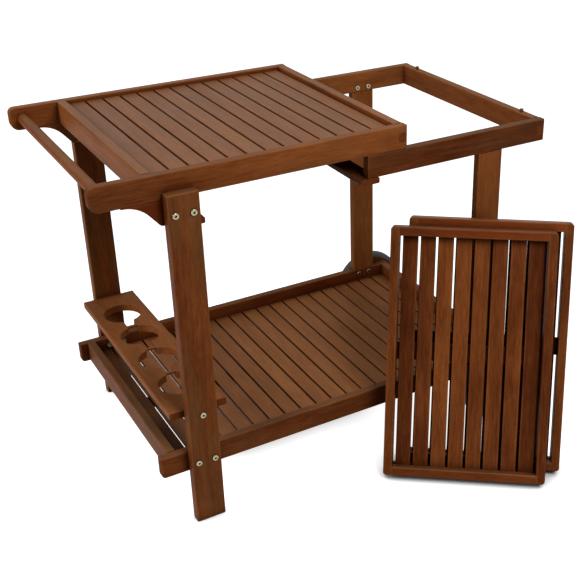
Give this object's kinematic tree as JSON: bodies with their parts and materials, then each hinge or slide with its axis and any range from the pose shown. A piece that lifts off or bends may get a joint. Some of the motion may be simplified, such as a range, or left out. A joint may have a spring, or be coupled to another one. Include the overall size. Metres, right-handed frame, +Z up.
{
  "type": "serving trolley",
  "caption": "Wooden serving trolley with a slatted top, push handle, open tray frame, bottle board, slatted shelf, wheels at one end and loose slatted trays leaning against its side.",
  "frame": {"origin": "on the floor, under the middle of the trolley's length (handle nose to tray frame end) and width", "axes": "+X along the trolley from the handle to the tray frame, +Y across it away from the side the loose trays lean on, +Z up"},
  "size_m": [1.06, 0.9445, 0.8],
  "materials": {
    "wood": "oiled, satin",
    "slat_wood": "oiled, satin",
    "steel": "zinc plated",
    "tyre": "matt rubber",
    "bush": "matt"
  },
  "bodies": {
    "trolley": {"top_rail_near": "wood", "top_rail_far": "wood", "top_end_rail_left": "wood", "top_end_rail_right": "wood", "handle_bar": "wood", "top_slats": "slat_wood", "top_cleats": "wood", "top_batten": "wood", "handle_bracket_near": "wood", "handle_bracket_far": "wood", "left_crossbar": "wood", "frame_crossbar": "wood", "frame_rail_near": "wood", "frame_rail_far": "wood", "frame_end_rail": "wood", "frame_pegs": "wood", "left_leg_near": "wood", "left_leg_far": "wood", "right_leg_near": "wood", "right_leg_far": "wood", "shelf_rail_near": "wood", "shelf_rail_far": "wood", "shelf_end_rail_left": "wood", "shelf_end_rail_right": "wood", "shelf_slats": "slat_wood", "shelf_cleats": "wood", "shelf_batten": "wood", "bottle_board": "wood", "axle": "steel", "axle_block_near": "wood", "axle_block_far": "wood", "axle_washers": "steel", "axle_caps": "steel", "leg_bolts": "steel", "leg_bolt_nuts": "steel", "rack_bolts": "steel", "rack_barrel_nuts": "steel", "right_leg_bolts": "steel", "dowels": "wood", "crossbar_screws": "steel", "axle_block_screws": "steel"},
    "near_wheel": {"wheel_disc_near": "wood", "tyre_near": "tyre", "wheel_bush_near": "bush"},
    "far_wheel": {"wheel_disc_far": "wood", "tyre_far": "tyre", "wheel_bush_far": "bush"},
    "front_tray": {"front_tray_side_left": "wood", "front_tray_side_right": "wood", "front_tray_end_bottom": "wood", "front_tray_end_top": "wood", "front_tray_slats": "slat_wood", "front_tray_batten": "wood"},
    "back_tray": {"back_tray_side_left": "wood", "back_tray_side_right": "wood", "back_tray_end_bottom": "wood", "back_tray_end_top": "wood", "back_tray_slats": "slat_wood", "back_tray_batten": "wood"}
  },
  "joints": [
    {"name": "near_wheel_spin", "type": "hinge", "parent": "trolley", "child": "near_wheel", "pos_m": [0.417, -0.305, 0.1], "axis": [0, 1, 0], "continuous": true},
    {"name": "far_wheel_spin", "type": "hinge", "parent": "trolley", "child": "far_wheel", "pos_m": [0.417, 0.305, 0.1], "axis": [0, 1, 0], "continuous": true},
    {"name": "front_tray_away", "type": "slide", "parent": "trolley", "child": "front_tray", "axis": [-0.6157, -0.788, 0], "range_m": [0, 0.4]},
    {"name": "back_tray_away", "type": "slide", "parent": "trolley", "child": "back_tray", "axis": [0.788, -0.6157, 0], "range_m": [0, 0.4]}
  ]
}
